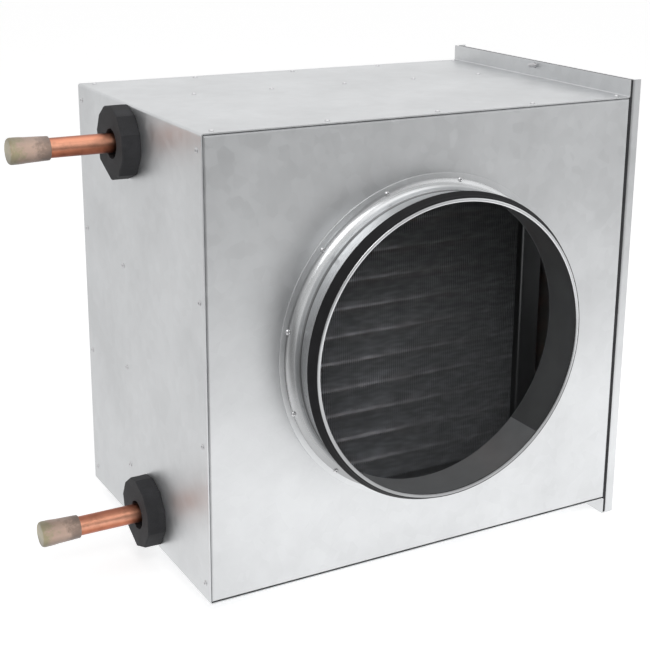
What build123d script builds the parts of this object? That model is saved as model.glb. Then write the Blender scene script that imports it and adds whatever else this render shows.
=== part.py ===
from build123d import *
import math
import os

# A hot water coil for a round air duct: a folded sheet-metal casing with a spigot front and rear,
# a finned two-row copper coil across it, and two connection pipes through the left wall.
# The origin is the centre of the front spigot's mouth: +X to the right, +Y along the duct
# towards the rear spigot, +Z up.

# Driving dimensions, in millimetres
spigot_radius = 124.5
spigot_reach = 39.0
casing_width = 395.0
casing_depth = 268.0
casing_height = 374.0
axis_height = 190.0
tube_pitch = 25.0
tubes_per_row = 14
tube_radius = 5.0
pipe_radius = 8.0
pipe_reach = 94.5

# Sheet metal
sheet = 1.0
fold_radius = 1.5
cover_flange = 14.4
panel_flange = 20.0
panel_gap = 0.4
panel_fold_radius = 2.0

# Spigots and their seals
spigot_hem = 3.4
spigot_hem_length = 2.0
spigot_flange_radius = 137.0
seal_start = 2.0
seal_length = 11.0
seal_thickness = 0.55

# Inspection cover
cover_gap = 3.0
cover_rim = 8.0
gasket_width = 13.0
screw_radius = 2.0
screw_clearance = 0.45
screw_tip = 8.0
screw_head_width = 7.0
screw_head_height = 2.8
screw_height = 10.5
screw_sides = 8

# Coil core
row_offset = tube_pitch * math.sqrt(3) / 4
fin_thickness = 0.4
fin_pitch = 4.5
fin_inset = 12.0
tube_inset = 18.75
tube_sides = 12
bend_runs = 6
plate_sheet = 1.5
plate_gap = 0.5
fold_gap = 1.4
frame_depth = 58.0
frame_flange = 20.0
left_plate_x = -140.0
right_plate_x = 171.0
bend_straight = 4.0
mount_flange = 14.0
header_radius = 11.0
header_x = -178.0
header_offset = 14.5
header_overrun = 11.0
header_seat = 3.0
pipe_wall = 1.0
pipe_seat = 4.0

# Foam rings and transport caps on the connection pipes
ring_radius = 30.5
ring_thickness = 15.5
ring_corner_angles = (12, 40, 68, 94, 128, 160, 195, 232, 268, 324)
ring_bore = 12.5
ring_bore_sides = 12
ring_bore_shift = 3.5
wall_hole_radius = 13.0
cap_reach = 65.5
cap_end = 97.5
cap_bore = 8.6
cap_mouth_radius = 9.5
cap_tip_radius = 10.7
cap_edge = 1.2
cap_taper_length = 29.0
cap_sides = 12

# Rivets
rivet_radius = 2.6
rivet_height = 1.0
rivet_taper = 45.0
rivet_sides = 8
edge_rivet_inset = 8.5
top_rivet_shares = (0.03, 0.27, 0.52, 0.755, 0.98)
side_rivet_shares = (0.036, 0.343, 0.65, 0.96)
baffle_rivet_shares = (0.375, 0.618, 0.86)
frame_rivet_inset = 10.0
frame_rivet_pitch = 72.0
frame_rivet_count = 5
spigot_rivet_radius = 131.6
spigot_rivet_count = 12
spigot_rivet_start = 19.0

# Places worked out from the driving dimensions
left, right = -casing_width / 2, casing_width / 2
front, rear = spigot_reach, spigot_reach + casing_depth
bottom, top = -axis_height, casing_height - axis_height
middle = (front + rear) / 2
fin_low, fin_high = bottom + fin_inset, top - fin_inset
fin_depth = 4 * row_offset
frame_front, frame_rear = middle - frame_depth / 2, middle + frame_depth / 2
front_row, rear_row = middle - row_offset, middle + row_offset
front_tubes = [fin_low + tube_inset + tube_pitch * n for n in range(tubes_per_row)]
rear_tubes = [z - tube_pitch / 2 for z in front_tubes]
supply_y, return_y = middle - header_offset, middle + header_offset
supply_z = front_tubes[0]
return_z = rear_tubes[-1]
mirror_plane = Plane.XZ.offset(-middle)
os.makedirs("parts", exist_ok=True)


def save(piece, name):
    """Label a finished piece and write it as one STEP file."""
    piece.label = name
    export_step(piece, f"parts/{name}.step")


# Casing wrap: one sheet folded into the left, top and bottom walls, with a flange for the cover
screw_places = [(middle, top + screw_height), (middle, bottom - screw_height)]
with BuildPart() as casing_wrap:
    with BuildSketch(Plane.XZ.offset(-rear)):
        with BuildLine():
            FilletPolyline(
                (right - sheet / 2, top + cover_flange),
                (right - sheet / 2, top - sheet / 2),
                (left + sheet / 2, top - sheet / 2),
                (left + sheet / 2, bottom + sheet / 2),
                (right - sheet / 2, bottom + sheet / 2),
                (right - sheet / 2, bottom - cover_flange),
                radius=fold_radius,
            )
        trace(line_width=sheet)
    extrude(amount=casing_depth)
    with BuildSketch(Plane.YZ.offset(left - sheet)):
        with Locations((supply_y, supply_z), (return_y, return_z)):
            Circle(wall_hole_radius)
    extrude(amount=3 * sheet, mode=Mode.SUBTRACT)
    with BuildSketch(Plane.YZ.offset(right - 2 * sheet)):
        with Locations(*screw_places):
            Circle(screw_radius + screw_clearance)
    extrude(amount=3 * sheet, mode=Mode.SUBTRACT)
save(casing_wrap.part, "casing_wrap")

# Front and rear panels: trays with their rims folded into the casing and a round duct opening
panel_left, panel_right = left + sheet + panel_gap, right
panel_low, panel_high = bottom + sheet + panel_gap, top - sheet - panel_gap
with BuildPart() as front_panel:
    with BuildSketch(Plane.XZ.offset(-front - panel_flange)):
        with Locations(((panel_left + panel_right) / 2, (panel_low + panel_high) / 2)):
            Rectangle(panel_right - panel_left, panel_high - panel_low)
    extrude(amount=panel_flange)
    fillet(faces().sort_by(Axis.Y)[0].edges(), radius=panel_fold_radius)
    offset(amount=-sheet, openings=faces().sort_by(Axis.Y)[-1])
    with BuildSketch(Plane.XZ.offset(-front - 2 * sheet)):
        Circle(spigot_radius - sheet)
    extrude(amount=3 * sheet, mode=Mode.SUBTRACT)
save(front_panel.part, "front_panel")

with BuildPart() as rear_panel:
    mirror(front_panel.part, about=mirror_plane)
save(rear_panel.part, "rear_panel")

# Spigots: a flanged neck with its mouth hemmed inwards, riveted on the face of each panel
with BuildPart() as front_spigot:
    with BuildSketch(Plane.XY):
        with BuildLine():
            Polyline(
                (spigot_radius - sheet, front),
                (spigot_flange_radius, front),
                (spigot_flange_radius, front - sheet),
                (spigot_radius, front - sheet),
                (spigot_radius, 0),
                (spigot_radius - spigot_hem, 0),
                (spigot_radius - spigot_hem, spigot_hem_length),
                (spigot_radius - sheet, spigot_hem_length),
                close=True,
            )
        make_face()
    revolve(axis=Axis.Y)
save(front_spigot.part, "front_spigot")

with BuildPart() as rear_spigot:
    mirror(front_spigot.part, about=mirror_plane)
save(rear_spigot.part, "rear_spigot")

# Rubber seals round the spigots, with their lips lying back as they do inside a duct
with BuildPart() as front_duct_seal:
    with BuildSketch(Plane.XY):
        with BuildLine():
            Polyline(
                (spigot_radius, seal_start),
                (spigot_radius + seal_thickness, seal_start),
                (spigot_radius + seal_thickness, seal_start + seal_length),
                (spigot_radius, seal_start + seal_length),
                close=True,
            )
        make_face()
    revolve(axis=Axis.Y)
save(front_duct_seal.part, "front_duct_seal")

with BuildPart() as rear_duct_seal:
    mirror(front_duct_seal.part, about=mirror_plane)
save(rear_duct_seal.part, "rear_duct_seal")

# Inspection cover: a plate over the open right end, stiffened by a rim down its front and rear edges
cover_inner = right + cover_gap
cover_outer = cover_inner + cover_rim
cover_height = casing_height + 2 * cover_flange
cover_middle = (top + bottom) / 2
with BuildPart() as inspection_cover:
    with BuildSketch(Plane.XY.offset(cover_middle - cover_height / 2)):
        with BuildLine():
            FilletPolyline(
                (cover_outer, front + sheet / 2),
                (cover_inner + sheet / 2, front + sheet / 2),
                (cover_inner + sheet / 2, rear - sheet / 2),
                (cover_outer, rear - sheet / 2),
                radius=fold_radius,
            )
        trace(line_width=sheet)
    extrude(amount=cover_height)
save(inspection_cover.part, "inspection_cover")

# Foam gasket between the casing's right end and the cover
with BuildPart() as cover_gasket:
    with BuildSketch(Plane.YZ.offset(right)):
        with Locations((middle, cover_middle)):
            Rectangle(casing_depth - 2 * sheet, cover_height - sheet)
            Rectangle(
                casing_depth - 2 * gasket_width,
                cover_height - 2 * gasket_width,
                mode=Mode.SUBTRACT,
            )
    extrude(amount=cover_gap)
save(cover_gasket.part, "cover_gasket")

# Cover screws: hexagon heads on the cover, shanks through its gasket and the casing flange
with BuildPart() as cover_screws:
    with BuildSketch(Plane.YZ.offset(cover_inner + sheet)):
        with Locations(*screw_places):
            RegularPolygon(screw_head_width / 2, 6, major_radius=False)
    extrude(amount=screw_head_height)
    with BuildSketch(Plane.YZ.offset(right - sheet - screw_tip)):
        with Locations(*screw_places):
            RegularPolygon(screw_radius, screw_sides)
    extrude(amount=screw_tip + cover_gap + 2 * sheet)
save(cover_screws.part, "cover_screws")

# Fin pack: flat aluminium fins across the coil, one plate for every few of the real ones
fin_run = right_plate_x - left_plate_x - plate_sheet - 2 * plate_gap
fin_count = int(fin_run / fin_pitch)
fin_first = left_plate_x + plate_sheet / 2 + (fin_run - (fin_count - 1) * fin_pitch) / 2
with BuildPart() as fin_pack:
    for n in range(fin_count):
        with Locations((fin_first + n * fin_pitch, middle, (fin_low + fin_high) / 2)):
            Box(fin_thickness, fin_depth, fin_high - fin_low)
save(fin_pack.part, "fin_pack")

# Hairpin tubes: each runs from the supply header through the front row of holes, turns back
# beyond the right end plate in a few short runs, and returns through the rear row to the return header
bend_start = right_plate_x + plate_sheet + bend_straight
leg_end = header_x + header_radius - header_seat
half_turn = math.pi / bend_runs / 2
hairpins = []
for front_z, rear_z in zip(front_tubes, rear_tubes):
    centre = Vector(bend_start, middle, (front_z + rear_z) / 2)
    to_front_leg = Vector(bend_start, front_row, front_z) - centre
    outwards = Vector(to_front_leg.length, 0, 0)
    corners = []
    for n in range(bend_runs):
        turn = half_turn * (2 * n + 1)
        towards = to_front_leg * math.cos(turn) + outwards * math.sin(turn)
        corners.append(centre + towards / math.cos(half_turn))
    with BuildPart() as hairpin:
        with BuildLine() as path:
            Polyline((leg_end, front_row, front_z), *corners, (leg_end, rear_row, rear_z))
        with BuildSketch(Plane(origin=(leg_end, front_row, front_z), x_dir=(0, 1, 0), z_dir=(1, 0, 0))):
            RegularPolygon(tube_radius, tube_sides)
        sweep(path=path.line, transition=Transition.RIGHT)
    hairpins.append(hairpin.part.solid())
save(Compound(children=hairpins), "hairpin_tubes")

# Headers: closed vertical tubes beside the left end plate, one for each row
for name, y, tubes in (("supply", supply_y, front_tubes), ("return", return_y, rear_tubes)):
    header_low, header_high = tubes[0] - header_overrun, tubes[-1] + header_overrun
    with BuildPart() as header:
        with Locations((header_x, y, header_low)):
            Cylinder(header_radius, header_high - header_low, align=(Align.CENTER, Align.CENTER, Align.MIN))
        chamfer(edges().filter_by(GeomType.CIRCLE), length=pipe_wall)
    save(header.part, f"{name}_header")

# Connection pipes, each with a foam ring cut by hand at the wall and a transport cap on its end
for name, y, z in (("supply", supply_y, supply_z), ("return", return_y, return_z)):
    pipe_length = header_x - header_radius + pipe_seat - (left - pipe_reach)
    with BuildPart() as pipe:
        with BuildSketch(Plane.YZ.offset(left - pipe_reach)):
            with Locations((y, z)):
                Circle(pipe_radius)
                Circle(pipe_radius - pipe_wall, mode=Mode.SUBTRACT)
        extrude(amount=pipe_length)
    save(pipe.part, f"{name}_pipe")

    outline = []
    for angle in ring_corner_angles:
        a = math.radians(angle)
        outline.append((y + ring_radius * math.cos(a), z + ring_radius * math.sin(a)))
    with BuildPart() as ring:
        with BuildSketch(Plane.YZ.offset(left - ring_thickness)):
            with BuildLine():
                Polyline(*outline, close=True)
            make_face()
            with Locations((y - ring_bore_shift, z)):
                RegularPolygon(ring_bore, ring_bore_sides, mode=Mode.SUBTRACT)
        extrude(amount=ring_thickness)
    save(ring.part, f"{name}_foam_ring")

    with BuildPart() as cap:
        with BuildSketch(Plane.YZ.offset(left - cap_end)):
            with Locations((y, z)):
                RegularPolygon(cap_tip_radius, cap_sides)
        extrude(amount=cap_end - cap_reach)
        chamfer(faces().sort_by(Axis.X)[0].edges(), length=cap_edge)
        mouth = faces().sort_by(Axis.X)[-1]
        chamfer(
            mouth.edges(),
            length=cap_tip_radius - cap_mouth_radius,
            length2=cap_taper_length,
            reference=mouth,
        )
        with BuildSketch(Plane.YZ.offset(left - pipe_reach - cap_edge)):
            with Locations((y, z)):
                RegularPolygon(cap_bore, cap_sides)
        extrude(amount=cap_end, mode=Mode.SUBTRACT)
    save(cap.part, f"{name}_pipe_cap")

# Coil end plates: channels the full height of the casing, their flanges guarding the tube ends
plate_low, plate_high = bottom + sheet + plate_gap, top - sheet - plate_gap
for name, x, way in (("header", left_plate_x, -1), ("bend", right_plate_x, 1)):
    flange_x = x + way * (plate_sheet / 2 + frame_flange)
    with BuildPart() as end_plate:
        with BuildSketch(Plane.XY.offset(plate_low)):
            with BuildLine():
                FilletPolyline(
                    (flange_x, frame_front + plate_sheet / 2),
                    (x, frame_front + plate_sheet / 2),
                    (x, frame_rear - plate_sheet / 2),
                    (flange_x, frame_rear - plate_sheet / 2),
                    radius=fold_radius,
                )
            trace(line_width=plate_sheet)
        extrude(amount=plate_high - plate_low)
    save(end_plate.part, f"{name}_end_plate")

# Coil top and bottom plates: stepped sheets over the fins that end in a riveted flange
shelf_left, shelf_right = left_plate_x + plate_sheet / 2, right_plate_x - plate_sheet / 2
for name, wall, fins, way in (("top", top - sheet, fin_high, 1), ("bottom", bottom + sheet, fin_low, -1)):
    shelf_z = fins + way * (plate_gap + sheet / 2)
    flange_z = wall - way * sheet / 2
    with BuildPart() as shelf:
        with BuildSketch(Plane.YZ.offset(shelf_left)):
            with BuildLine():
                Polyline(
                    (frame_front + sheet / 2, flange_z),
                    (frame_front + sheet / 2, shelf_z),
                    (frame_rear + sheet / 2, shelf_z),
                    (frame_rear + sheet / 2, flange_z),
                    (frame_rear + mount_flange, flange_z),
                )
            trace(line_width=sheet)
        extrude(amount=shelf_right - shelf_left)
    save(shelf.part, f"coil_{name}_plate")

# Header baffle: keeps the air out of the header chamber, riveted down the casing's left wall
with BuildPart() as header_baffle:
    with BuildSketch(Plane.XY.offset(bottom + sheet + fold_gap)):
        with BuildLine():
            Polyline(
                (left_plate_x - plate_sheet, frame_rear + sheet / 2),
                (left + sheet * 1.5, frame_rear + sheet / 2),
                (left + sheet * 1.5, frame_rear + mount_flange),
            )
        trace(line_width=sheet)
    extrude(amount=casing_height - 2 * sheet - 2 * fold_gap)
save(header_baffle.part, "header_baffle")


def rivets(places):
    """Low rivet heads, each on a plane that faces away from the sheet it sits on."""
    heads = []
    for place in places:
        with BuildPart() as head:
            with BuildSketch(place):
                RegularPolygon(rivet_radius, rivet_sides)
            extrude(amount=rivet_height, taper=rivet_taper)
        heads.append(head.part.solid())
    return Compound(children=heads)


def facing(x, y, z, out):
    """A plane at a point of the casing's surface with its normal pointing out of it."""
    across = (0, 1, 0) if out[1] == 0 else (1, 0, 0)
    return Plane(origin=(x, y, z), x_dir=across, z_dir=out)


up, down, leftward = (0, 0, 1), (0, 0, -1), (-1, 0, 0)
edge_xs = [left + casing_width * share for share in top_rivet_shares]
edge_zs = [top - casing_height * share for share in side_rivet_shares]
for name, y in (("front", front + edge_rivet_inset), ("rear", rear - edge_rivet_inset)):
    places = [facing(x, y, top, up) for x in edge_xs]
    places += [facing(x, y, bottom, down) for x in edge_xs]
    places += [facing(left, y, z, leftward) for z in edge_zs]
    save(rivets(places), f"{name}_panel_rivets")

# Rivets that hold the coil frame and the baffle to the wrap
frame_rivet_y = frame_rear + mount_flange / 2
frame_xs = [left_plate_x + frame_rivet_inset + n * frame_rivet_pitch for n in range(frame_rivet_count)]
baffle_zs = [top - casing_height * share for share in baffle_rivet_shares]
places = [facing(x, frame_rivet_y, top, up) for x in frame_xs]
places += [facing(x, frame_rivet_y, bottom, down) for x in frame_xs]
places += [facing(left, frame_rivet_y, z, leftward) for z in baffle_zs]
save(rivets(places), "coil_frame_rivets")

# Rivets round each spigot's flange
spigot_angles = [
    math.radians(spigot_rivet_start + 360 / spigot_rivet_count * n) for n in range(spigot_rivet_count)
]
for name, y, out in (
    ("front", front - sheet, (0, -1, 0)),
    ("rear", rear + sheet, (0, 1, 0)),
):
    places = []
    for a in spigot_angles:
        x, z = spigot_rivet_radius * math.cos(a), spigot_rivet_radius * math.sin(a)
        places.append(facing(x, y, z, out))
    save(rivets(places), f"{name}_spigot_rivets")
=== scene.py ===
"""Looks for a hot water coil: a galvanised casing with spigots, a finned coil and two capped pipes."""

import math
import random

import bmesh
import bpy
from bpy.props import FloatProperty, FloatVectorProperty, IntProperty, PointerProperty
from mathutils import Euler, Matrix, Vector


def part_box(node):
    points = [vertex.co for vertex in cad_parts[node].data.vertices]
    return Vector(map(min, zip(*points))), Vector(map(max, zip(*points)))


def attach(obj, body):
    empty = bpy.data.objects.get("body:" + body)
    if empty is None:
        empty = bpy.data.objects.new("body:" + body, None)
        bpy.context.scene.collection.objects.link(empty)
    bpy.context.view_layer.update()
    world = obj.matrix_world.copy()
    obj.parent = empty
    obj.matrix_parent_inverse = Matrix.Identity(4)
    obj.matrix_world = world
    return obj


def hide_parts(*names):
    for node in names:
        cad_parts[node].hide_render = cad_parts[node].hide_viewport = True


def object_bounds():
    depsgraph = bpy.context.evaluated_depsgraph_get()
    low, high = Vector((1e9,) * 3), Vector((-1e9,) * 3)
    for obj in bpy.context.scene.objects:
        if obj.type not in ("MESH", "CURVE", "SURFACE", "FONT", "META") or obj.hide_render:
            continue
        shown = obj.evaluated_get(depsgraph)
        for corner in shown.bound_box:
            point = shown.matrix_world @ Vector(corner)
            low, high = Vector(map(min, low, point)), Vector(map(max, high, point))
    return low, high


bl_info = {
    "name": "Hot Water Coil",
    "version": (1, 0, 0),
    "blender": (4, 5, 0),
    "location": "3D View > Sidebar > Coil",
    "description": "Builds the visible pieces of a hot water coil round its packed frame",
    "category": "Add Mesh",
}

MM = 0.001
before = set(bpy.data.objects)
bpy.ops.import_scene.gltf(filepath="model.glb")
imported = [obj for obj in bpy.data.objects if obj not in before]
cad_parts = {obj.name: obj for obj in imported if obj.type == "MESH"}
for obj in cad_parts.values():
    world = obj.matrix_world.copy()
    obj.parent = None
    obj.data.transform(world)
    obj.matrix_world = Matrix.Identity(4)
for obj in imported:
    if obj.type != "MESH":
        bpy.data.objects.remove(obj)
cad_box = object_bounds()
FRONT_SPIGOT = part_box("front_spigot")
FLOOR_HEIGHT = min(corner[2] for corner in cad_box)
AXIS_Y = Vector((0, 1, 0))
ENDS = (("front", FRONT_SPIGOT[0].y, AXIS_Y), ("rear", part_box("rear_spigot")[1].y, -AXIS_Y))
RING_CORNERS = (12, 40, 68, 94, 128, 160, 195, 232, 268, 324)
RING_BORE_SHIFT = 3.5 * MM
LAP_ANGLE = -45
LAP_SPREAD = 60
FIN_BLOCK = 37.5 * MM
PIPE_SIDES = ("supply", "return")


# Shared tools for meshes

def linked(name, data):
    """A new object in the scene."""
    made = bpy.data.objects.new(name, data)
    bpy.context.scene.collection.objects.link(made)
    return made


def add_piece(mesh, name, body, material=None, stands_for=(), smooth_angle=35):
    """Link a finished mesh, give it its finish and body, and hide the plain nodes it stands for."""
    piece = linked(name, mesh)
    if material:
        mesh.materials.clear()
        mesh.materials.append(material)
    if smooth_angle:
        mesh.shade_smooth()
        mesh.set_sharp_from_angle(angle=math.radians(smooth_angle))
    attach(piece, body)
    if stands_for:
        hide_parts(*stands_for)
    return piece


def bridge(shape, near, far):
    """Close the strip between two loops of vertices with faces, all the way round."""
    count = len(near)
    for n in range(count):
        m = (n + 1) % count
        shape.faces.new((near[n], near[m], far[m], far[n]))


def finished_mesh(shape, name):
    """Turn the faces of a closed form outwards and keep it as a mesh."""
    bmesh.ops.recalc_face_normals(shape, faces=shape.faces)
    mesh = bpy.data.meshes.new(name)
    shape.to_mesh(mesh)
    shape.free()
    return mesh


def turned(name, profile, base, axis, steps):
    """A closed profile of (distance along the axis, radius) pairs, turned all the way round the axis."""
    along = Vector(axis).normalized()
    across = along.orthogonal().normalized()
    third = along.cross(across)
    shape = bmesh.new()
    rings = []
    for step in range(steps):
        angle = math.tau * step / steps
        outward = across * math.cos(angle) + third * math.sin(angle)
        rings.append([
            shape.verts.new(Vector(base) + along * distance + outward * radius)
            for distance, radius in profile
        ])
    for step in range(steps):
        bridge(shape, rings[step], rings[(step + 1) % steps])
    bmesh.ops.remove_doubles(shape, verts=shape.verts, dist=1e-6)
    return finished_mesh(shape, name)


def rounded(profile, radii, steps=4):
    """Round the corners of a closed profile, each by its own radius in millimetres; 0 leaves it sharp."""
    points = [Vector(p) for p in profile]
    count = len(points)
    result = []
    for n, corner in enumerate(points):
        radius = radii[n] * MM
        before, after = points[n - 1] - corner, points[(n + 1) % count] - corner
        if not radius:
            result.append(tuple(corner))
            continue
        reach = min(radius, before.length * 0.49, after.length * 0.49)
        start = corner + before.normalized() * reach
        end = corner + after.normalized() * reach
        for step in range(steps + 1):
            t = step / steps
            point = start * (1 - t) ** 2 + corner * 2 * t * (1 - t) + end * t ** 2
            result.append(tuple(point))
    return result


def solid_boxes(node):
    """The lowest and highest corner of each separate solid of a node."""
    shape = bmesh.new()
    shape.from_mesh(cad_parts[node].data)
    bmesh.ops.remove_doubles(shape, verts=shape.verts, dist=1e-6)
    left = set(shape.verts)
    boxes = []
    while left:
        reached = [left.pop()]
        found = []
        while reached:
            vert = reached.pop()
            found.append(vert.co.copy())
            for edge in vert.link_edges:
                other = edge.other_vert(vert)
                if other in left:
                    left.discard(other)
                    reached.append(other)
        low = Vector([min(p[k] for p in found) for k in range(3)])
        high = Vector([max(p[k] for p in found) for k in range(3)])
        boxes.append((low, high))
    shape.free()
    return sorted(boxes, key=lambda box: tuple(round(v, 5) for v in (box[0] + box[1])))


def dress(node, material):
    """Give a plain node's own mesh a finish."""
    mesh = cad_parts[node].data
    mesh.materials.clear()
    mesh.materials.append(material)


def pipe_heights():
    """The heights of the two pipes' middles, the lower one first."""
    return sorted(sum(corner.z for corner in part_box(f"{side}_pipe")) / 2 for side in PIPE_SIDES)


# Shared tools for node trees

def feed_node(tree, node, inputs):
    """Feed each input a value, another node's output, or the first output of a node given whole."""
    for key, value in inputs.items():
        if isinstance(value, bpy.types.Node):
            value = value.outputs[0]
        if isinstance(value, bpy.types.NodeSocket):
            tree.links.new(value, node.inputs[key])
        else:
            node.inputs[key].default_value = value


def place(tree, kind, inputs=None, **settings):
    """Add a node, set its options and feed its inputs."""
    made = tree.nodes.new(kind)
    for key, value in settings.items():
        setattr(made, key, value)
    feed_node(tree, made, inputs or {})
    return made


def maths(tree, operation, first, second=0.0):
    """The output of one sum in a node tree."""
    return place(tree, "ShaderNodeMath", {0: first, 1: second}, operation=operation).outputs[0]


def new_geometry_tree(name, sockets):
    """A geometry tree with a geometry input and output and the named inputs."""
    tree = bpy.data.node_groups.new(name, "GeometryNodeTree")
    tree.interface.new_socket("Geometry", in_out="OUTPUT", socket_type="NodeSocketGeometry")
    for label, kind in [("Geometry", "Geometry"), *sockets]:
        tree.interface.new_socket(label, in_out="INPUT", socket_type=f"NodeSocket{kind}")
    return tree, place(tree, "NodeGroupInput").outputs


def finish_geometry_tree(tree, geometry, material):
    """End a geometry tree in Realize Instances and Set Material."""
    real = place(tree, "GeometryNodeRealizeInstances", {"Geometry": geometry})
    dressed = place(tree, "GeometryNodeSetMaterial", {"Geometry": real, "Material": material})
    place(tree, "NodeGroupOutput", {"Geometry": dressed})


def grown(start, tree, values, name):
    """Run a geometry tree on a start object, and return the result as one plain mesh."""
    modifier = start.modifiers.new(tree.name, "NODES")
    modifier.node_group = tree
    for item in tree.interface.items_tree:
        if item.in_out == "INPUT" and item.name in values:
            modifier[item.identifier] = values[item.name]
    bpy.context.view_layer.update()
    graph = bpy.context.evaluated_depsgraph_get()
    mesh = bpy.data.meshes.new_from_object(start.evaluated_get(graph), depsgraph=graph)
    start.modifiers.remove(modifier)
    bpy.data.objects.remove(start)
    mesh.name = name
    if not mesh.polygons:
        raise RuntimeError(f"{name} came out empty")
    return mesh


# Finishes

class Finish:
    """A material in the making: its node tree, its shader and the object's own coordinates."""

    def __init__(self, name):
        self.material = bpy.data.materials.new(name)
        self.material.use_nodes = True
        self.tree = self.material.node_tree
        self.shader = self.tree.nodes["Principled BSDF"]
        self.where = place(self.tree, "ShaderNodeTexCoord").outputs["Object"]

    def add(self, kind, inputs=None, **settings):
        return place(self.tree, kind, inputs, **settings)

    def axes(self):
        return self.add("ShaderNodeSeparateXYZ", {"Vector": self.where}).outputs

    def stretched(self, scale):
        """The object's coordinates, stretched for a pattern that runs one way."""
        return self.add("ShaderNodeMapping", {"Vector": self.where, "Scale": scale}).outputs[0]

    def noise(self, scale, detail=3.0, roughness=0.55, vector=None):
        inputs = {"Vector": vector or self.where, "Scale": scale, "Detail": detail, "Roughness": roughness}
        return self.add("ShaderNodeTexNoise", inputs).outputs["Fac"]

    def cells(self, scale):
        """A different grey for each cell of a crystal pattern."""
        colour = self.add("ShaderNodeTexVoronoi", {"Vector": self.where, "Scale": scale}).outputs["Color"]
        return self.add("ShaderNodeSeparateColor", {"Color": colour}).outputs["Red"]

    def ramp(self, value, stops):
        """Colours along a value, from pairs of a place and a colour or one grey level."""
        made = self.add("ShaderNodeValToRGB", {"Fac": value})
        elements = made.color_ramp.elements
        while len(elements) < len(stops):
            elements.new(0.5)
        for element, (position, colour) in zip(elements, stops):
            element.position = position
            element.color = (colour, colour, colour, 1) if isinstance(colour, float) else (*colour, 1)
        return made.outputs["Color"]

    def shades(self, value, colour, *stops):
        """Shades of one colour along a value, from pairs of a place and a factor."""
        return self.ramp(value, [(position, shade(colour, factor)) for position, factor in stops])

    def span(self, value, low, high, start=0.0, end=1.0):
        inputs = {"Value": value, "From Min": start, "From Max": end, "To Min": low, "To Max": high}
        return self.add("ShaderNodeMapRange", inputs).outputs["Result"]

    def sum(self, first, second, operation="ADD"):
        return maths(self.tree, operation, first, second)

    def beside_axes(self, low, high):
        """How far a point of one of two level pipes lies above the middle of its own pipe."""
        height = self.axes()["Z"]
        upper = self.sum(height, (low + high) / 2, "GREATER_THAN")
        return self.sum(height, self.span(upper, low, high), "SUBTRACT")

    def scaled(self, tone, level):
        """A colour times a number."""
        return self.add("ShaderNodeVectorMath", {0: tone, "Scale": level}, operation="SCALE").outputs[0]

    def tinted(self, tone, level):
        """A colour times a colour."""
        return self.add("ShaderNodeVectorMath", {0: tone, 1: level}, operation="MULTIPLY").outputs[0]

    def bump(self, height, strength, distance):
        inputs = {"Height": height, "Strength": strength, "Distance": distance}
        self.feed(Normal=self.add("ShaderNodeBump", inputs))

    def feed(self, **inputs):
        """Feed the shader's inputs; an underscore stands for the space in a name."""
        feed_node(self.tree, self.shader, {key.replace("_", " "): value for key, value in inputs.items()})


def shade(colour, factor):
    return tuple(min(1.0, c * factor) for c in colour)


def recipe(build):
    """Build a finish the first time its name is asked for, and find it again after that."""
    def find_or_build(name, *details):
        if name not in bpy.data.materials:
            build(Finish(name), *details)
        return bpy.data.materials[name]
    return find_or_build


@recipe
def zinc_sheet(finish, colour, metal, rough, spangle_size, contrast):
    """Galvanised sheet: pale zinc with soft clouds, faint crystal spangle and fine grain."""
    clouds = finish.noise(14.0, 4.0, 0.6)
    crystals = finish.cells(1 / spangle_size)
    blend = finish.sum(finish.span(clouds, 0.0, 0.7, 0.3, 0.7), finish.span(crystals, 0.0, 0.3))
    tone = finish.shades(blend, colour, (0.1, 1 - contrast), (0.9, 1 + contrast * 0.6))
    finish.feed(Base_Color=tone, Metallic=metal, Roughness=finish.span(crystals, rough - 0.02, rough + 0.03))
    finish.bump(finish.noise(700.0, 2.0, 0.5), 0.12, 0.0002)


@recipe
def rolled_zinc(finish, colour, metal, rough, lapped=False):
    """Sheet rolled into a spigot: fine lines round the neck; when lapped, darker just past its lap and
    lighter round towards it, and otherwise darkened low down by painted shade.
    """
    lines = finish.noise(1.0, 2.0, 0.6, finish.stretched((4.0, 500.0, 4.0)))
    smears = finish.noise(22.0, 3.0, 0.6)
    tone = finish.shades(smears, colour, (0.3, 0.88), (0.7, 1.05))
    if lapped:
        axes = finish.axes()
        turn = finish.sum(axes["Z"], axes["X"], "ARCTAN2")
        past = finish.sum(finish.sum(turn, math.radians(LAP_ANGLE), "SUBTRACT"), math.tau, "FLOORED_MODULO")
        level = finish.ramp(finish.span(past, 0.0, 1.0, 0.0, math.tau), [
            (0.0, 0.45), (0.25, 0.5), (0.5, 0.65), (0.75, 0.9), (0.999, 1.05),
        ])
        tone = finish.tinted(tone, level)
    else:
        # Painted shade: the sheet darkens towards the bottom of the neck.
        tone = finish.scaled(tone, finish.span(finish.axes()["Z"], 0.5, 1.08, -0.07, 0.06))
    duller = finish.span(lines, rough - 0.04, rough + 0.05, 0.3, 0.7)
    finish.feed(Base_Color=tone, Metallic=metal, Roughness=duller)
    finish.bump(lines, 0.03, 0.0002)


@recipe
def black_rubber(finish, colour, rough):
    """Moulded rubber with a faint bloom."""
    bloom = finish.noise(60.0, 4.0, 0.6)
    finish.feed(
        Base_Color=finish.shades(bloom, colour, (0.3, 0.75), (0.75, 1.6)),
        Roughness=finish.span(bloom, rough - 0.06, rough + 0.1),
        Specular_IOR_Level=0.2,
    )
    finish.bump(finish.noise(1200.0, 2.0), 0.08, 0.0002)


@recipe
def cut_foam(finish, colour):
    """Black cellular foam with open pores and knife marks."""
    pores = finish.noise(1100.0, 3.0, 0.65)
    marks = finish.noise(60.0, 2.0, 0.5)
    tone = finish.sum(finish.span(pores, 0.0, 0.4, 0.3, 0.7), finish.span(marks, 0.0, 0.6, 0.3, 0.7))
    finish.feed(
        Base_Color=finish.shades(tone, colour, (0.25, 0.75), (0.9, 1.5)),
        Roughness=0.8,
    )
    finish.bump(tone, 0.2, 0.0005)


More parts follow.
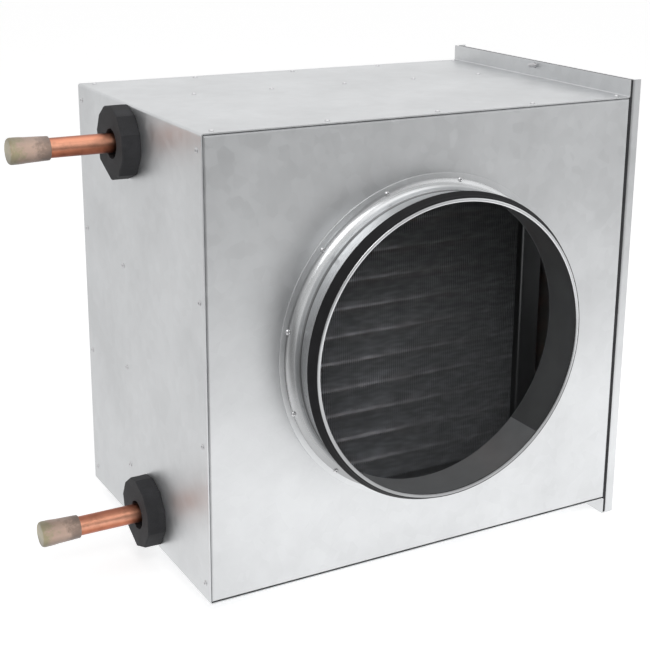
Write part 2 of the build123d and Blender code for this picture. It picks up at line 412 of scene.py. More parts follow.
@recipe
def drawn_copper(finish, colour, axes=None):
    """Drawn copper tube: bright, with long draw lines and brown marks; on a pipe, painted shade darkens it
    above and below and a painted highlight brightens a band just above its middle.
    """
    draw = finish.noise(1.0, 3.0, 0.6, finish.stretched((14.0, 260.0, 260.0)))
    stain = finish.noise(70.0, 4.0, 0.65)
    tone = finish.shades(stain, colour, (0.3, 0.72), (0.52, 1), (0.75, 1.1))
    if axes:
        # Painted shade darkens the top and bottom of a pipe, and a painted highlight brightens a band just
        # above its middle.
        beside = finish.span(finish.beside_axes(*axes), 0.0, 1.0, -8 * MM, 8 * MM)
        tone = finish.tinted(tone, finish.ramp(beside, [
            (0.0, (0.35, 0.22, 0.2)), (0.38, (0.62, 0.5, 0.45)), (0.6, (1.12, 1.2, 1.25)), (0.8, 1.0),
            (1.0, (0.5, 0.4, 0.38)),
        ]))
    duller = finish.span(finish.sum(draw, stain), 0.28, 0.42, 0.7, 1.3)
    finish.feed(Base_Color=tone, Metallic=1.0, Roughness=duller)
    finish.bump(draw, 0.04, 0.0002)


@recipe
def fin_aluminium(finish, colour, rows_pitch, first_row, column):
    """Aluminium fins: dull, with a painted highlight along each row of tubes standing for the tubes' lit
    tops, painted light strongest at the left and low down, and uneven from block to block.
    """
    axes = finish.axes()
    turn = finish.sum(finish.sum(axes["Z"], first_row, "SUBTRACT"), rows_pitch, "DIVIDE")
    phase = finish.sum(turn, 1.0, "FLOORED_MODULO")
    # Painted highlight and shade: a bright line where each row of tubes would catch the light, fading into a
    # dark band between the rows.
    painted_row_light = [(0.0, 1.0), (0.05, 0.75), (0.12, 0.24), (0.5, 0.12), (0.955, 0.02), (1.0, 0.8)]
    line = finish.ramp(phase, painted_row_light)
    block = finish.sum(finish.sum(axes["X"], column, "DIVIDE"), 0.0, "FLOOR")
    patch = finish.add("ShaderNodeTexWhiteNoise", {"W": block}, noise_dimensions="1D").outputs["Value"]
    ripples = finish.noise(1.0, 2.0, 0.6, finish.stretched((60.0, 1.0, 330.0)))
    # The painted row light is strongest at the left, fades towards the top, and varies from block to block.
    for factor in (
        finish.sum(finish.span(patch, 0.6, 1.0), finish.span(ripples, 0.55, 1.25, 0.3, 0.7), "MULTIPLY"),
        finish.span(axes["X"], 1.2, 0.1, -0.03, 0.10),
        finish.span(axes["Z"], 1.0, 0.35, 0.04, 0.11),
    ):
        line = finish.sum(line, factor, "MULTIPLY")
    level = finish.sum(line, finish.span(ripples, 0.0, 0.16, 0.4, 0.7))
    tone = finish.shades(level, colour, (0.0, 0.62), (1.0, 2.7))
    # Painted light: the fins grow lighter towards the bottom.
    tone = finish.scaled(tone, finish.span(axes["Z"], 1.7, 0.95, -0.13, 0.05))
    finish.feed(Base_Color=tone, Metallic=0.3, Roughness=0.5)
    finish.bump(ripples, 0.2, 0.0004)


@recipe
def soft_cap_plastic(finish, sleeve, tip, tip_x, mouth_x, axes):
    """Milky soft plastic: warmed by the copper in its sleeve, clear at the tip and darker towards its mouth,
    with painted shade along its bottom and, less, its top.
    """
    share = finish.span(finish.axes()["X"], 0.0, 1.0, tip_x, mouth_x)
    clouds = finish.noise(110.0, 4.0, 0.65)
    tone = finish.ramp(finish.sum(share, finish.span(clouds, -0.22, 0.22, 0.3, 0.7)), [
        (0.08, tip), (0.3, sleeve), (0.6, shade(sleeve, 1.05)), (0.8, shade(sleeve, 0.62)),
        (1.0, shade(sleeve, 0.5)),
    ])
    # Painted shade: the cap darkens along its bottom and, less, its top.
    level = finish.ramp(finish.span(finish.beside_axes(*axes), 0.0, 1.0, -10 * MM, 10 * MM), [
        (0.0, 0.35), (0.3, 0.75), (0.5, 1.05), (0.75, 1.0), (1.0, 0.6),
    ])
    finish.feed(
        Base_Color=finish.tinted(tone, level),
        Roughness=0.38,
        Subsurface_Weight=0.1,
        Subsurface_Radius=(0.6, 0.5, 0.35),
        Subsurface_Scale=0.004,
        Coat_Weight=0.15,
    )
    finish.bump(clouds, 0.5, 0.0012)


@recipe
def bright_fixing(finish, colour, rough):
    """Bright rivet and screw heads with small scuffs."""
    scuffs = finish.noise(500.0, 3.0, 0.6)
    finish.feed(
        Base_Color=finish.shades(scuffs, colour, (0.3, 0.85), (0.7, 1)),
        Metallic=1.0,
        Roughness=finish.span(scuffs, rough - 0.06, rough + 0.1),
    )
    finish.bump(scuffs, 0.1, 0.0002)


# Settings that a user would change

def size(name, description, millimetres):
    return FloatProperty(name=name, description=description, unit="LENGTH", default=millimetres * MM)


def amount(name, description, default):
    return FloatProperty(name=name, description=description, default=default)


def turn_of(name, description, degrees):
    return FloatProperty(name=name, description=description, subtype="ANGLE", default=math.radians(degrees))


def colour_of(name, description, default):
    return FloatVectorProperty(name=name, description=description, subtype="COLOR", default=default)


class CoilCasingSettings(bpy.types.PropertyGroup):
    colour: colour_of("Zinc colour", "Colour of the galvanised sheet", (0.635, 0.645, 0.655))
    spangle: size("Spangle size", "Width of the zinc crystals", 9)
    roughness: amount("Roughness", "How dull the sheet is", 0.40)


class CoilSpigotSettings(bpy.types.PropertyGroup):
    colour: colour_of("Neck colour", "Colour of the rolled sheet", (0.67, 0.68, 0.69))
    radius: size("Neck radius", "Outer radius of the spigot's neck", 124.5)
    wall: size("Sheet thickness", "Thickness of the rolled sheet", 1)
    rim: size("Rim width", "Width of the hemmed mouth", 3.4)
    groove: size("Groove depth", "Depth of the rolled groove before the flare", 0.8)
    groove_place: size("Groove place", "Distance of the groove behind the mouth", 27.6)
    flare: size("Flare radius", "Radius of the bend from the neck to its flange", 8)
    lap: size("Lap step", "Height of the step where the neck's sheet laps itself inside", 0.6)
    lip: size("Lip reach", "How far the seal's lips stand off the neck", 3.8)
    rubber: colour_of("Seal colour", "Colour of the rubber seals", (0.009, 0.009, 0.010))
    steps: IntProperty(name="Steps round", description="Number of faces round each spigot", default=192)


class CoilCoreSettings(bpy.types.PropertyGroup):
    fin_colour: colour_of("Fin colour", "Colour of the aluminium fins", (0.33, 0.34, 0.355))
    fin_pitch: size("Fin pitch", "Distance from fin to fin", 2.1)
    fin_thickness: size("Fin thickness", "Thickness of one fin", 0.25)
    fin_wave: size("Fin wave", "Height of the wave pressed into each fin", 0.6)
    tube_radius: size("Tube radius", "Outer radius of the hairpin tubes", 5)
    tube_pitch: size("Tube pitch", "Distance from tube to tube in a row", 25)
    copper: colour_of("Copper colour", "Colour of the tubes and pipes", (0.80, 0.37, 0.24))


class CoilPipeSettings(bpy.types.PropertyGroup):
    pipe_radius: size("Pipe radius", "Outer radius of the connection pipes", 8)
    pipe_wall: size("Pipe wall", "Wall thickness of the connection pipes", 1)
    foam: colour_of("Foam colour", "Colour of the foam rings and the gasket", (0.024, 0.024, 0.0265))
    ring_bore: size("Ring bore", "Radius of the hole cut through a foam ring", 12.2)
    cap_sleeve: colour_of("Cap sleeve colour", "Colour of the cap round the pipe", (0.64, 0.46, 0.37))
    cap_tip: colour_of("Cap tip colour", "Colour of the cap beyond the pipe's end", (0.46, 0.40, 0.25))


class CoilFixingSettings(bpy.types.PropertyGroup):
    colour: colour_of("Fixing colour", "Colour of rivet and screw heads", (0.66, 0.66, 0.67))
    rivet_radius: size("Rivet radius", "Radius of a rivet's head", 2.2)
    rivet_height: size("Rivet height", "Height of a rivet's head", 1.0)
    screw_flats: size("Screw head width", "Width across a screw head's flats", 7)


class CoilStageSettings(bpy.types.PropertyGroup):
    eye: FloatVectorProperty(
        name="Camera place", description="Where the camera stands", subtype="TRANSLATION", unit="LENGTH",
        default=(-0.5748, -0.8432, 0.3613))
    yaw: turn_of("Yaw", "Turn of the camera about the vertical", -30.52)
    pitch: turn_of("Pitch", "Tilt of the camera", -15.87)
    roll: turn_of("Roll", "Roll of the camera", 0.85)
    lens: amount("Focal length", "Focal length in millimetres", 75.3)
    floor_shade: amount("Floor shade", "How pale the floor is", 0.90)
    mirrored: amount("Mirrored floor", "How bright the floor before the object is in reflections", 1.4)
    key: amount("Key light", "Power of the light above and to the left", 13.0)
    fill: amount("Fill light", "Power of the light to the right", 2.5)
    overhead: amount("Overhead light", "Power of the light straight above", 5.5)


# Operators, one for each piece or group of like pieces

def outer_sheet(casing):
    """The finish of the casing, its panels and the spigots' flanges."""
    return zinc_sheet("galvanised sheet", casing.colour, 0.92, casing.roughness, casing.spangle, 0.09)


class COIL_OT_sheet_metal(bpy.types.Operator):
    """Give the casing, its panels and the cover their galvanised finish, and the coil's plates a darker copy
    of it as painted shade
    """
    bl_idname = "coil.sheet_metal"
    bl_label = "Sheet Metal"

    def execute(self, context):
        casing = context.scene.coil_casing
        outer = outer_sheet(casing)
        # Painted shade: the coil's plates inside the casing get a darkened copy of the galvanised sheet.
        colour, rough = shade(casing.colour, 0.42), casing.roughness + 0.08
        inner = zinc_sheet("plain zinc plate", colour, 0.97, rough, casing.spangle, 0.08)
        for node in ("casing_wrap", "front_panel", "rear_panel", "inspection_cover"):
            dress(node, outer)
        for node in ("header_end_plate", "bend_end_plate", "coil_top_plate", "coil_bottom_plate"):
            dress(node, inner)
        dress("header_baffle", inner)
        return {"FINISHED"}


class COIL_OT_spigots(bpy.types.Operator):
    """Turn the two duct spigots, each with a hemmed mouth, a groove, a lap seam and a flared flange"""
    bl_idname = "coil.spigots"
    bl_label = "Spigots"

    def execute(self, context):
        spigot = context.scene.coil_spigot
        sheet = outer_sheet(context.scene.coil_casing)
        outside = rolled_zinc("rolled zinc sheet", spigot.colour, 0.95, 0.28)
        # Painted shade: the groove's faces get a darkened copy of the neck's zinc.
        shaded_groove = rolled_zinc("rolled groove", shade(spigot.colour, 0.35), 0.9, 0.35)
        inside = rolled_zinc("spigot inside", spigot.colour, 0.78, 0.34, True)
        radius, wall, flare, groove = spigot.radius, spigot.wall, spigot.flare, spigot.groove_place
        reach, flange = FRONT_SPIGOT[1].y, FRONT_SPIGOT[1].x
        bend = []
        for step in range(9):
            angle = math.pi / 2 * (1 - step / 8)
            inward, outward = 1 - math.sin(angle), 1 - math.cos(angle)
            bend.append((reach - wall - flare * inward, radius + flare * outward))
        profile = [
            (reach, radius - wall),
            (reach, flange),
            (reach - wall, flange),
            *bend,
            (groove + 2.0 * MM, radius),
            (groove + 0.6 * MM, radius - spigot.groove),
            (groove - 0.6 * MM, radius - spigot.groove),
            (groove - 2.0 * MM, radius),
            (0, radius),
            (0, radius - spigot.rim),
            (2 * wall, radius - spigot.rim),
            (2 * wall, radius - wall),
        ]
        shape = rounded(profile, [0, 0.3, 0.4, *[0] * len(bend), 0.3, 0.4, 0.4, 0.6, 2.2, 0.9, 0.9, 0])
        for end, base, axis in ENDS:
            name = f"{end}_spigot"
            mesh = turned(name, shape, (0, base, 0), axis, spigot.steps)
            for material in (outside, inside, sheet, shaded_groove):
                mesh.materials.append(material)
            for face in mesh.polygons:
                distance = math.hypot(face.center.x, face.center.z)
                beside_groove = abs(abs(face.center.y - base) - groove)
                if abs(distance - (radius - wall)) < 0.1 * MM:
                    face.material_index = 1
                elif distance > radius + flare:
                    face.material_index = 2
                # Faces in the groove take the painted shade.
                elif radius - spigot.groove * 1.1 < distance < radius - 0.2 * MM and beside_groove < 2 * MM:
                    face.material_index = 3
            self.lap_inside(mesh, radius - wall, spigot.lap)
            add_piece(mesh, f"{name}_neck", "unit", None, [name])
        return {"FINISHED"}

    def lap_inside(self, mesh, bore, height):
        """Let the inner wall wind in and step back where the sheet's end lies."""
        for vert in mesh.vertices:
            across = Vector((vert.co.x, 0, vert.co.z))
            if abs(across.length - bore) > 0.1 * MM:
                continue
            past = (math.degrees(math.atan2(vert.co.z, vert.co.x)) - LAP_ANGLE) % 360
            if past < LAP_SPREAD:
                vert.co -= across.normalized() * height * (1 - past / LAP_SPREAD)


class COIL_OT_duct_seals(bpy.types.Operator):
    """Turn the double-lipped rubber seals round the spigots"""
    bl_idname = "coil.duct_seals"
    bl_label = "Duct Seals"

    def execute(self, context):
        spigot = context.scene.coil_spigot
        rubber = black_rubber("seal rubber", spigot.rubber, 0.6)
        radius, lip = spigot.radius - 0.05 * MM, spigot.lip
        start, end = (corner.y - FRONT_SPIGOT[0].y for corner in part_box("front_duct_seal"))
        skin = 0.9 * MM
        profile = [
            (0.35 * MM, radius - 0.7 * MM),
            (0.35 * MM, radius + 0.2 * MM),
            (start, radius + skin),
            (start + 1.2 * MM, radius + skin + 0.2 * MM),
            (start + 5.6 * MM, radius + lip),
            (start + 6.3 * MM, radius + lip - 0.2 * MM),
            (start + 4.6 * MM, radius + skin),
            (start + 6.0 * MM, radius + skin),
            (end - 2.6 * MM, radius + lip - 1.1 * MM),
            (end - 1.9 * MM, radius + lip - 1.4 * MM),
            (end - 2.6 * MM, radius + skin),
            (end, radius + 0.5 * MM),
            (end, radius),
            (2.2 * MM, radius),
        ]
        shape = rounded(profile, [0, 0.3, 0.4, 0.8, 0.3, 0.3, 0.5, 0.4, 0.3, 0.3, 0.4, 0.3, 0, 0], 3)
        for end, base, axis in ENDS:
            name = f"{end}_duct_seal"
            mesh = turned(name, shape, (0, base, 0), axis, spigot.steps)
            add_piece(mesh, f"{name}_lips", "unit", rubber, [name], 50)
        return {"FINISHED"}


class COIL_OT_fin_pack(bpy.types.Operator):
    """Grow the pack of thin waved fins across the coil"""
    bl_idname = "coil.fin_pack"
    bl_label = "Fin Pack"

    def execute(self, context):
        core = context.scene.coil_core
        low, high = (corner.copy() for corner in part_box("fin_pack"))
        low.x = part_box("header_end_plate")[1].x + 0.3 * MM
        high.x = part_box("bend_end_plate")[0].x - 0.3 * MM
        tubes = solid_boxes("hairpin_tubes")
        # The fins' painted row highlights line up a little below the tubes' tops.
        first_row = max(box[1].z for box in tubes) - core.tube_radius * 0.45
        material = fin_aluminium("fin aluminium", core.fin_colour, core.tube_pitch, first_row, FIN_BLOCK)
        span = high - low
        count = int(span.x / core.fin_pitch)
        tree, source = new_geometry_tree("Fin pack", [
            ("Fins", "Int"), ("First fin", "Vector"), ("Fin pitch", "Float"), ("Fin depth", "Float"),
            ("Fin height", "Float"), ("Thickness", "Float"), ("Wave height", "Float"), ("Waves", "Float"),
            ("Material", "Material"),
        ])
        grid = place(tree, "GeometryNodeMeshGrid", {
            "Size X": source["Fin depth"], "Size Y": source["Fin height"], "Vertices X": 25, "Vertices Y": 2,
        })
        upright = place(tree, "GeometryNodeTransform", {
            "Geometry": grid.outputs["Mesh"], "Rotation": Euler((math.pi / 2, 0, math.pi / 2)),
        })
        position = place(tree, "GeometryNodeInputPosition")
        axes = place(tree, "ShaderNodeSeparateXYZ", {0: position})
        share = maths(tree, "DIVIDE", axes.outputs["Y"], source["Fin depth"])
        angle = maths(tree, "MULTIPLY", maths(tree, "MULTIPLY", share, source["Waves"]), math.tau)
        height = maths(tree, "MULTIPLY", maths(tree, "SINE", angle), source["Wave height"])
        shift = place(tree, "ShaderNodeCombineXYZ", {"X": height})
        waved = place(tree, "GeometryNodeSetPosition", {"Geometry": upright, "Offset": shift})
        solid = place(tree, "GeometryNodeExtrudeMesh", {
            "Mesh": waved, "Offset Scale": source["Thickness"], "Individual": False,
        })
        back = place(tree, "GeometryNodeFlipFaces", {"Mesh": waved})
        closed = place(tree, "GeometryNodeJoinGeometry")
        tree.links.new(solid.outputs["Mesh"], closed.inputs[0])
        tree.links.new(back.outputs[0], closed.inputs[0])
        merged = place(tree, "GeometryNodeMergeByDistance", {"Geometry": closed, "Distance": 1e-6})
        step = place(tree, "ShaderNodeCombineXYZ", {"X": source["Fin pitch"]})
        line = place(tree, "GeometryNodeMeshLine", {
            "Count": source["Fins"], "Start Location": source["First fin"], "Offset": step,
        })
        fins = place(tree, "GeometryNodeInstanceOnPoints", {"Points": line, "Instance": merged})
        finish_geometry_tree(tree, fins, source["Material"])
        middle = (low + high) / 2
        margin = (span.x - (count - 1) * core.fin_pitch) / 2
        mesh = grown(linked("fin start", bpy.data.meshes.new("fin start")), tree, {
            "Fins": count, "First fin": (low.x + margin, middle.y, middle.z), "Fin pitch": core.fin_pitch,
            "Fin depth": span.y, "Fin height": span.z, "Thickness": core.fin_thickness,
            "Wave height": core.fin_wave, "Waves": 4.0, "Material": material,
        }, "fin_pack")
        add_piece(mesh, "waved_fins", "unit", None, ["fin_pack"], 0)
        return {"FINISHED"}


class COIL_OT_hairpin_tubes(bpy.types.Operator):
    """Grow the round copper hairpins along their path, one for each tube of a row"""
    bl_idname = "coil.hairpin_tubes"
    bl_label = "Hairpin Tubes"

    def execute(self, context):
        core = context.scene.coil_core
        material = drawn_copper("drawn copper", core.copper)
        boxes = solid_boxes("hairpin_tubes")
        low, high = boxes[0]
        radius = core.tube_radius
        near = Vector((0, low.y + radius, high.z - radius))
        far = Vector((0, high.y - radius, low.z + radius))
        bend = (far - near).length / 2
        straight_end = high.x - radius - bend
        curve = bpy.data.curves.new("hairpin path", "CURVE")
        curve.dimensions = "3D"
        path = curve.splines.new("POLY")
        centre = (near + far) / 2
        points = [Vector((low.x, near.y, near.z))]
        turns = 14
        for n in range(turns + 1):
            angle = math.pi * n / turns
            side = centre + (near - centre) * math.cos(angle)
            points.append(Vector((straight_end + bend * math.sin(angle), side.y, side.z)))
        points.append(Vector((low.x, far.y, far.z)))
        path.points.add(len(points) - 1)
        for point, where in zip(path.points, points):
            point.co = (*where, 1)
        tree, source = new_geometry_tree("Hairpin tubes", [
            ("Tubes", "Int"), ("Tube pitch", "Float"), ("Tube radius", "Float"), ("Material", "Material"),
        ])
        ring = place(tree, "GeometryNodeCurvePrimitiveCircle", {
            "Resolution": 18, "Radius": source["Tube radius"],
        })
        tube = place(tree, "GeometryNodeCurveToMesh", {
            "Curve": source["Geometry"], "Profile Curve": ring, "Fill Caps": True,
        })
        step = place(tree, "ShaderNodeCombineXYZ", {"Z": source["Tube pitch"]})
        line = place(tree, "GeometryNodeMeshLine", {"Count": source["Tubes"], "Offset": step})
        tubes = place(tree, "GeometryNodeInstanceOnPoints", {"Points": line, "Instance": tube})
        finish_geometry_tree(tree, tubes, source["Material"])
        mesh = grown(linked("hairpin start", curve), tree, {
            "Tubes": len(boxes), "Tube pitch": core.tube_pitch, "Tube radius": radius, "Material": material,
        }, "hairpin_tubes")
        add_piece(mesh, "round_hairpins", "unit", None, ["hairpin_tubes"], 40)
        for side in PIPE_SIDES:
            dress(f"{side}_header", material)
        return {"FINISHED"}


class COIL_OT_connection_pipes(bpy.types.Operator):
    """Turn the two copper connection pipes with their open ends"""
    bl_idname = "coil.connection_pipes"
    bl_label = "Connection Pipes"

    def execute(self, context):
        pipes = context.scene.coil_pipes
        material = drawn_copper("pipe copper", context.scene.coil_core.copper, pipe_heights())
        for side in PIPE_SIDES:
            low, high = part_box(f"{side}_pipe")
            middle = (low + high) / 2
            radius, wall = pipes.pipe_radius, pipes.pipe_wall
            length = high.x - low.x
            profile = [(0, radius - wall), (0, radius), (length, radius), (length, radius - wall)]
            shape = rounded(profile, [0.3, 0.4, 0, 0])
            mesh = turned(f"{side}_pipe", shape, (low.x, middle.y, middle.z), (1, 0, 0), 64)
            add_piece(mesh, f"{side}_copper_pipe", "unit", material, [f"{side}_pipe"])
        return {"FINISHED"}


class COIL_OT_foam_rings(bpy.types.Operator):
    """Cut the two foam rings by hand: straight knife cuts, uneven corners and a ragged bore"""
    bl_idname = "coil.foam_rings"
    bl_label = "Foam Rings"

    def execute(self, context):
        pipes = context.scene.coil_pipes
        material = cut_foam("black foam", pipes.foam)
        for seed, side in ((5, "supply"), (11, "return")):
            low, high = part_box(f"{side}_foam_ring")
            mesh = self.cut_ring(side, low, high, pipes.ring_bore, random.Random(seed))
            node = f"{side}_foam_ring"
            ring = add_piece(mesh, f"{side}_cut_foam", "unit", material, [node], 20)
        return {"FINISHED"}

    def cut_ring(self, side, low, high, bore, draw):
        """Outlines of knife cuts from the wall to the outer face, and back through a ragged bore."""
        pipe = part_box(f"{side}_pipe")
        middle = (pipe[0] + pipe[1]) / 2
        outer = (high.z - low.z) / 2
        turns = [math.radians(corner) for corner in RING_CORNERS]
        corners = [Vector((math.cos(turn), math.sin(turn))) * outer for turn in turns]
        cuts = 6
        shape = bmesh.new()
        loops = []
        for depth, trim in ((0.0, 0.985), (0.05, 1.0), (0.5, 0.997), (0.93, 0.995), (1.0, 0.972)):
            x = high.x + (low.x - high.x) * depth
            loop = []
            for n, a in enumerate(corners):
                b = corners[(n + 1) % len(corners)]
                for k in range(cuts):
                    point = a.lerp(b, k / cuts) * trim * (1 + draw.uniform(-0.003, 0.003))
                    loop.append(shape.verts.new((x, middle.y + point.x, middle.z + point.y)))
            loops.append(loop)
        steps = len(loops[0])
        for x in (low.x, high.x):
            loop = []
            for n in range(steps):
                angle = turns[0] + math.tau * n / steps
                reach = bore * draw.uniform(0.96, 1.04)
                y = middle.y - RING_BORE_SHIFT + math.cos(angle) * reach
                loop.append(shape.verts.new((x, y, middle.z + math.sin(angle) * reach)))
            loops.append(loop)
        for n, near in enumerate(loops):
            bridge(shape, near, loops[(n + 1) % len(loops)])
        return finished_mesh(shape, f"{side}_foam_ring")


class COIL_OT_pipe_caps(bpy.types.Operator):
    """Turn the soft caps that close the pipes for transport"""
    bl_idname = "coil.pipe_caps"
    bl_label = "Pipe Caps"

    def execute(self, context):
        pipes = context.scene.coil_pipes
        for side in PIPE_SIDES:
            low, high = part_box(f"{side}_pipe_cap")
            middle = (low + high) / 2
            length = high.x - low.x
            tip = (high.y - low.y) / 2
            bore = pipes.pipe_radius + 0.3 * MM
            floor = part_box(f"{side}_pipe")[0].x - low.x - 0.8 * MM
            profile = [
                (0, 0), (0, tip * 0.90), (1.6 * MM, tip), (length * 0.30, tip * 0.99),
                (length * 0.42, tip * 0.955), (length * 0.55, tip * 0.945), (length * 0.93, tip * 0.905),
                (length, tip * 0.90), (length, bore), (floor, bore), (floor, 0),
            ]
            shape = rounded(profile, [0, 1.5, 1.5, 2, 2, 2, 1, 0.5, 0.2, 0.3, 0])
            mesh = turned(f"{side}_pipe_cap", shape, (low.x, middle.y, middle.z), (1, 0, 0), 72)
            colours = pipes.cap_sleeve, pipes.cap_tip
            material = soft_cap_plastic("milky cap plastic", *colours, low.x, high.x, pipe_heights())
            add_piece(mesh, f"{side}_soft_cap", f"{side}_cap", material, [f"{side}_pipe_cap"])
        return {"FINISHED"}


def fixing_tree():
    """One head set on points that each carry the way they face."""
    tree, source = new_geometry_tree("Fixings", [("Head", "Object"), ("Material", "Material")])
    facing = place(tree, "GeometryNodeInputNamedAttribute", {"Name": "facing"}, data_type="FLOAT_VECTOR")
    turn = place(tree, "FunctionNodeAlignRotationToVector", {"Vector": facing.outputs["Attribute"]}, axis="Z")
    head = place(tree, "GeometryNodeObjectInfo", {"Object": source["Head"]})
    heads = place(tree, "GeometryNodeInstanceOnPoints", {
        "Points": source["Geometry"], "Instance": head.outputs["Geometry"], "Rotation": turn,
    })
    finish_geometry_tree(tree, heads, source["Material"])
    return tree


def fixing_points(name, places):
    """A start object with one point for each fixing, which carries the way it faces."""
    mesh = bpy.data.meshes.new(name)
    mesh.from_pydata([where for where, facing in places], [], [])
    attribute = mesh.attributes.new("facing", "FLOAT_VECTOR", "POINT")
    for item, (where, facing) in zip(attribute.data, places):
        item.vector = facing
    return linked(name, mesh)


class COIL_OT_rivets(bpy.types.Operator):
    """Set the blind rivets on the casing and round the spigots' flanges"""
    bl_idname = "coil.rivets"
    bl_label = "Rivets"

    def execute(self, context):
        fixing = context.scene.coil_fixing
        material = bright_fixing("rivet aluminium", fixing.colour, 0.35)
        radius, height = fixing.rivet_radius, fixing.rivet_height
        profile = [
            (0, 0), (0, radius), (height * 0.25, radius), (height * 0.75, radius * 0.75),
            (height, radius * 0.5), (height * 0.8, radius * 0.4), (height * 0.3, radius * 0.38),
            (height * 0.3, 0),
        ]
        head = linked("rivet head", turned("rivet head", profile, (0, 0, 0), (0, 0, 1), 16))
        tree = fixing_tree()
        centre = sum(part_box("casing_wrap"), Vector()) / 2
        for place_name in ("front_panel", "rear_panel", "coil_frame", "front_spigot", "rear_spigot"):
            group = f"{place_name}_rivets"
            places = []
            for low, high in solid_boxes(group):
                span = high - low
                axis = min(range(3), key=lambda k: span[k])
                middle = (low + high) / 2
                facing = Vector()
                facing[axis] = 1 if middle[axis] > centre[axis] else -1
                places.append((middle - facing * span[axis] / 2, facing))
            start = fixing_points(group, places)
            mesh = grown(start, tree, {"Head": head, "Material": material}, group)
            add_piece(mesh, f"{group}_domed", "unit", None, [group], 40)
        bpy.data.objects.remove(head)
        return {"FINISHED"}


class COIL_OT_cover_screws(bpy.types.Operator):
    """Drive the hexagon washer-head screws that hold the inspection cover"""
    bl_idname = "coil.cover_screws"
    bl_label = "Cover Screws"

    def execute(self, context):
        fixing = context.scene.coil_fixing
        material = bright_fixing("zinc plated screw", shade(fixing.colour, 0.9), 0.3)
        boxes = solid_boxes("cover_screws")
        low, high = boxes[0]
        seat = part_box("inspection_cover")[0].x + 1 * MM
        head = linked("screw head", self.screw(fixing.screw_flats / 2, high.x - seat, seat - low.x))
        places = [(Vector((seat, (a.y + b.y) / 2, (a.z + b.z) / 2)), Vector((1, 0, 0))) for a, b in boxes]
        start = fixing_points("cover screw start", places)
        mesh = grown(start, fixing_tree(), {"Head": head, "Material": material}, "cover_screws")
        add_piece(mesh, "hex_cover_screws", "cover", None, ["cover_screws"], 35)
        bpy.data.objects.remove(head)
        return {"FINISHED"}

    def screw(self, half_width, head_height, shank):
        """A washer, a crowned hexagon head and a threaded shank; a ring with no radius is the hexagon."""
        rings = [(-shank, 0.3 * MM), (-shank + 1.5 * MM, 1.9 * MM)]
        turn = -shank + 1.8 * MM
        while turn < -0.9 * MM:
            rings += [(turn, 1.6 * MM), (turn + 0.4 * MM, 2.0 * MM)]
            turn += 0.9 * MM
        washer = half_width * 1.12
        rings += [
            (0, 1.9 * MM), (0, washer), (0.5 * MM, washer), (0.6 * MM, None), (head_height * 0.85, None),
            (head_height, half_width * 0.86),
        ]
        shape = bmesh.new()
        steps = 24
        loops = []
        for height, radius in rings:
            loop = []
            for n in range(steps):
                angle = math.tau * n / steps
                past_flat = (angle + math.pi / 6) % (math.pi / 3) - math.pi / 6
                reach = radius or half_width / math.cos(past_flat)
                loop.append(shape.verts.new((reach * math.cos(angle), reach * math.sin(angle), height)))
            loops.append(loop)
        for near, far in zip(loops, loops[1:]):
            bridge(shape, near, far)
        shape.faces.new(list(reversed(loops[0])))
        shape.faces.new(loops[-1])
        return finished_mesh(shape, "screw head")


class COIL_OT_cover_gasket(bpy.types.Operator):
    """Give the gasket under the cover its black foam"""
    bl_idname = "coil.cover_gasket"
    bl_label = "Cover Gasket"

    def execute(self, context):
        dress("cover_gasket", cut_foam("black foam", context.scene.coil_pipes.foam))
        return {"FINISHED"}


